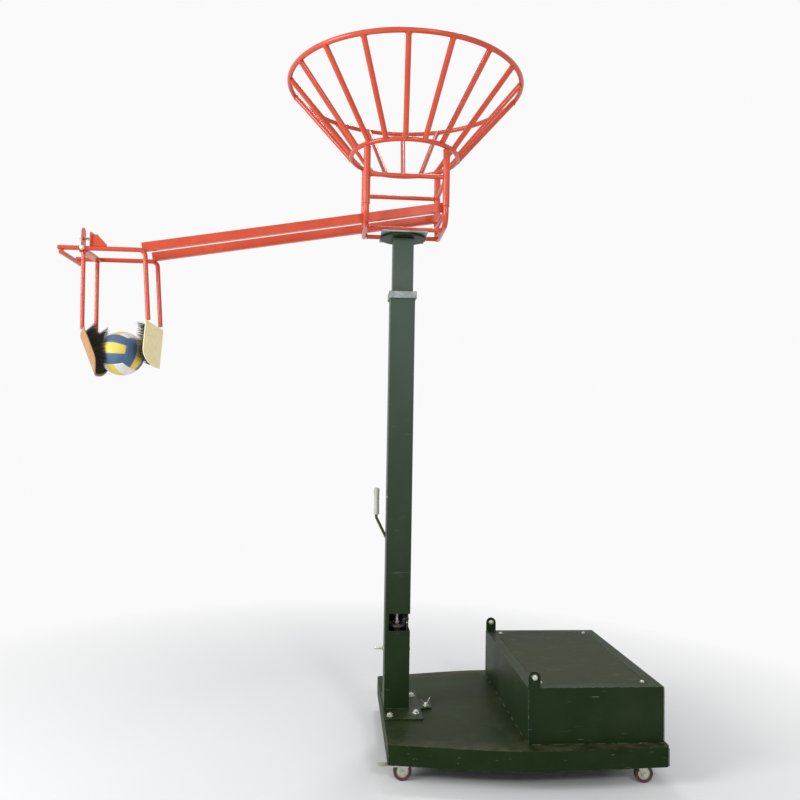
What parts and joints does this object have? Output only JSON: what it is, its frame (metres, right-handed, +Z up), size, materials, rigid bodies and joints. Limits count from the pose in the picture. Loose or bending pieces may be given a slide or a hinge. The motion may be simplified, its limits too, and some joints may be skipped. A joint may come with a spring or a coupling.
{
  "type": "volleyball spike trainer",
  "caption": "Wheeled volleyball spike trainer: a wire funnel feeds balls down two rails to a bristle-lined holder on a crank-raised mast with a ballast box.",
  "frame": {"origin": "on the floor, under the middle of the whole object's box", "axes": "+Z up; +X along the base toward the ballast box, so the ball holder reaches toward -X; +Y completes the right-handed frame"},
  "size_m": [2.762, 1.173, 3.234],
  "materials": {
    "green": "semi-gloss",
    "olive": "satin",
    "red": "gloss",
    "tan": "satin",
    "bristle": "matte",
    "zinc": "satin",
    "steel": "bright",
    "iron": "rough",
    "tyre": "satin",
    "nylon": "satin",
    "grip": "satin",
    "brass": "satin",
    "ball": "satin"
  },
  "bodies": {
    "base": {"base_deck": "green", "mast_foot_plate": "green", "ballast_box": "green", "ballast_block": "iron", "outer_mast": "green", "mast_collar": "zinc", "collar_liner": "nylon", "gear_block": "iron", "gear_block_bolt": "zinc", "crank_holder": "zinc", "caster_near_left_plate": "zinc", "caster_far_left_plate": "zinc", "caster_near_right_plate": "zinc", "caster_far_right_plate": "zinc"},
    "foot_wing_bolt": {"foot_wing_bolt": "zinc"},
    "lid": {"ballast_lid": "olive"},
    "carriage": {"inner_mast": "green", "lift_nut": "brass", "turntable_disc": "green", "king_nut": "zinc"},
    "screw": {"lead_screw": "steel", "crown_gear": "steel"},
    "pinion": {"drive_pinion": "steel"},
    "crank": {"crank_arm": "olive"},
    "crank_grip": {"crank_grip": "grip"},
    "head": {"head_plate": "zinc", "cage_side_left": "red", "cage_side_right": "red", "cage_top_bar_near": "red", "cage_top_bar_far": "red", "cage_bottom_bar_near": "red", "cage_bottom_bar_far": "red", "funnel_rim": "red", "funnel_basket": "red", "rail_near": "red", "rail_far": "red", "arm_near": "red", "arm_far": "red", "holder_end_tube": "red", "spring_bracket": "red", "guide_bolt": "zinc", "fixed_pad": "tan", "fixed_brush": "bristle", "jaw_pivot_bolt_near": "zinc", "jaw_pivot_bolt_far": "zinc", "jaw_spring": "steel"},
    "jaw": {"jaw_frame": "red", "jaw_pad": "tan", "jaw_brush": "bristle"},
    "ball": {"volleyball": "ball"},
    "caster_near_left_fork": {"caster_near_left_fork": "zinc"},
    "caster_near_left_wheel": {"caster_near_left_wheel": "tyre"},
    "caster_near_left_pedal": {"caster_near_left_brake_pedal": "zinc"},
    "caster_far_left_fork": {"caster_far_left_fork": "zinc"},
    "caster_far_left_wheel": {"caster_far_left_wheel": "tyre"},
    "caster_far_left_pedal": {"caster_far_left_brake_pedal": "zinc"},
    "caster_near_right_fork": {"caster_near_right_fork": "zinc"},
    "caster_near_right_wheel": {"caster_near_right_wheel": "tyre"},
    "caster_far_right_fork": {"caster_far_right_fork": "zinc"},
    "caster_far_right_wheel": {"caster_far_right_wheel": "tyre"}
  },
  "joints": [
    {"name": "mast_lift", "type": "slide", "parent": "base", "child": "carriage", "axis": [0, 0, 1], "range_m": [0, 1.15]},
    {"name": "screw_turn", "type": "hinge", "parent": "base", "child": "screw", "pos_m": [0.236, 0, 0.625], "axis": [0, 0, 1], "continuous": true},
    {"name": "pinion_turn", "type": "hinge", "parent": "base", "child": "pinion", "pos_m": [0.236, 0, 0.595], "axis": [1, 0, 0], "continuous": true},
    {"name": "head_swivel", "type": "hinge", "parent": "carriage", "child": "head", "pos_m": [0.236, 0, 2.475], "axis": [0, 0, 1], "continuous": true},
    {"name": "jaw_hinge", "type": "hinge", "parent": "head", "child": "jaw", "pos_m": [-1.269, 0, 2.3375], "axis": [0, 1, 0], "range_deg": [0, 12], "stiffness_Nm_per_rad": 6, "springref_deg": -34.38, "deforming": ["jaw_spring"]},
    {"name": "ball_lift_out", "type": "slide", "parent": "head", "child": "ball", "axis": [0, 0, 1], "range_m": [0, 0.45]},
    {"name": "lid_lift_out", "type": "slide", "parent": "base", "child": "lid", "axis": [0, 0, 1], "range_m": [0, 0.3]},
    {"name": "crank_lift_out", "type": "slide", "parent": "base", "child": "crank", "axis": [0, 0, 1], "range_m": [0, 0.2]},
    {"name": "crank_grip_spin", "type": "hinge", "parent": "crank", "child": "crank_grip", "pos_m": [0.131, 0.08, 1.155], "axis": [0, 0, 1], "continuous": true},
    {"name": "foot_wing_bolt_turn", "type": "hinge", "parent": "base", "child": "foot_wing_bolt", "pos_m": [0.381, -0.02, 0.185], "axis": [0, 0, 1], "range_deg": [-180, 180]},
    {"name": "caster_near_left_swivel", "type": "hinge", "parent": "base", "child": "caster_near_left_fork", "pos_m": [0.262, -0.395, 0.12], "axis": [0, 0, 1], "continuous": true},
    {"name": "caster_near_left_roll", "type": "hinge", "parent": "caster_near_left_fork", "child": "caster_near_left_wheel", "pos_m": [0.24, -0.395, 0.04], "axis": [0, 1, 0], "continuous": true},
    {"name": "caster_near_left_brake", "type": "hinge", "parent": "caster_near_left_fork", "child": "caster_near_left_pedal", "pos_m": [0.2274, -0.395, 0.0653], "axis": [0, -1, 0], "range_deg": [0, 15]},
    {"name": "caster_far_left_swivel", "type": "hinge", "parent": "base", "child": "caster_far_left_fork", "pos_m": [0.262, 0.395, 0.12], "axis": [0, 0, 1], "continuous": true},
    {"name": "caster_far_left_roll", "type": "hinge", "parent": "caster_far_left_fork", "child": "caster_far_left_wheel", "pos_m": [0.284, 0.395, 0.04], "axis": [0, 1, 0], "continuous": true},
    {"name": "caster_far_left_brake", "type": "hinge", "parent": "caster_far_left_fork", "child": "caster_far_left_pedal", "pos_m": [0.2966, 0.395, 0.0653], "axis": [0, 1, 0], "range_deg": [0, 15]},
    {"name": "caster_near_right_swivel", "type": "hinge", "parent": "base", "child": "caster_near_right_fork", "pos_m": [1.266, -0.458, 0.12], "axis": [0, 0, 1], "continuous": true},
    {"name": "caster_near_right_roll", "type": "hinge", "parent": "caster_near_right_fork", "child": "caster_near_right_wheel", "pos_m": [1.288, -0.458, 0.04], "axis": [0, 1, 0], "continuous": true},
    {"name": "caster_far_right_swivel", "type": "hinge", "parent": "base", "child": "caster_far_right_fork", "pos_m": [1.266, 0.458, 0.12], "axis": [0, 0, 1], "continuous": true},
    {"name": "caster_far_right_roll", "type": "hinge", "parent": "caster_far_right_fork", "child": "caster_far_right_wheel", "pos_m": [1.288, 0.458, 0.04], "axis": [0, 1, 0], "continuous": true}
  ],
  "couplings": [
    {"joint": "screw_turn", "follows": "mast_lift", "rad_per_m": -523.6},
    {"joint": "pinion_turn", "follows": "mast_lift", "rad_per_m": -1047.2}
  ]
}
